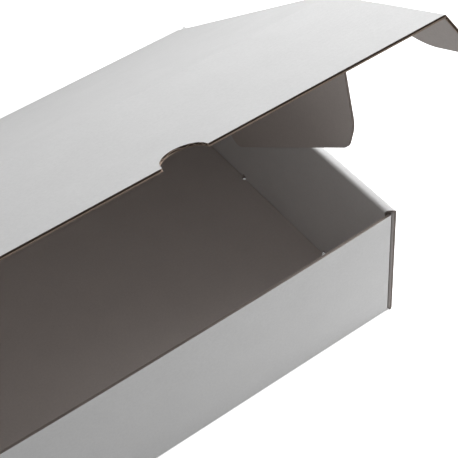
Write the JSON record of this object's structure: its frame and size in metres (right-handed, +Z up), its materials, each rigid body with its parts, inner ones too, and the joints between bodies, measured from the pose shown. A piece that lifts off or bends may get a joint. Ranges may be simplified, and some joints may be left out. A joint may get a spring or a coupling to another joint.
{
  "type": "mailer box",
  "caption": "Shallow mailer box folded from thin white corrugated board, with rolled double side walls and a hinged lid whose front flap, ears and dust flaps tuck in.",
  "frame": {"origin": "middle of the underside of the tray's floor", "axes": "+X along the box to its right, -Y out of the front wall, +Z up"},
  "size_m": [0.3032, 0.2582, 0.2549],
  "materials": {
    "board": "matt white liner over brown fluted edges"
  },
  "bodies": {
    "tray": {"tray": "board"},
    "lid": {"lid_panel": "board"},
    "front_flap": {"front_flap": "board"},
    "dust_flap_left": {"dust_flap_left": "board"},
    "dust_flap_right": {"dust_flap_right": "board"},
    "ear_left": {"ear_left": "board"},
    "ear_right": {"ear_right": "board"}
  },
  "joints": [
    {"name": "lid_crease", "type": "hinge", "parent": "tray", "child": "lid", "pos_m": [0, 0.1066, 0.0916], "axis": [-1, 0, 0], "range_deg": [-37, 143]},
    {"name": "front_flap_crease", "type": "hinge", "parent": "lid", "child": "front_flap", "pos_m": [0, -0.06199, 0.21864], "axis": [-1, 0, 0], "range_deg": [-76.7, 13.3]},
    {"name": "dust_flap_left_crease", "type": "hinge", "parent": "lid", "child": "dust_flap_left", "pos_m": [-0.1397, 0.1066, 0.0916], "axis": [0, -0.7986, 0.6018], "range_deg": [0, 45]},
    {"name": "dust_flap_right_crease", "type": "hinge", "parent": "lid", "child": "dust_flap_right", "pos_m": [0.1397, 0.1066, 0.0916], "axis": [0, 0.7986, -0.6018], "range_deg": [0, 45]},
    {"name": "ear_left_crease", "type": "hinge", "parent": "front_flap", "child": "ear_left", "pos_m": [-0.1377, -0.06199, 0.21864], "axis": [0, 0.9157, -0.4019], "range_deg": [-28, 62]},
    {"name": "ear_right_crease", "type": "hinge", "parent": "front_flap", "child": "ear_right", "pos_m": [0.1377, -0.06199, 0.21864], "axis": [0, -0.9157, 0.4019], "range_deg": [-28, 62]}
  ]
}
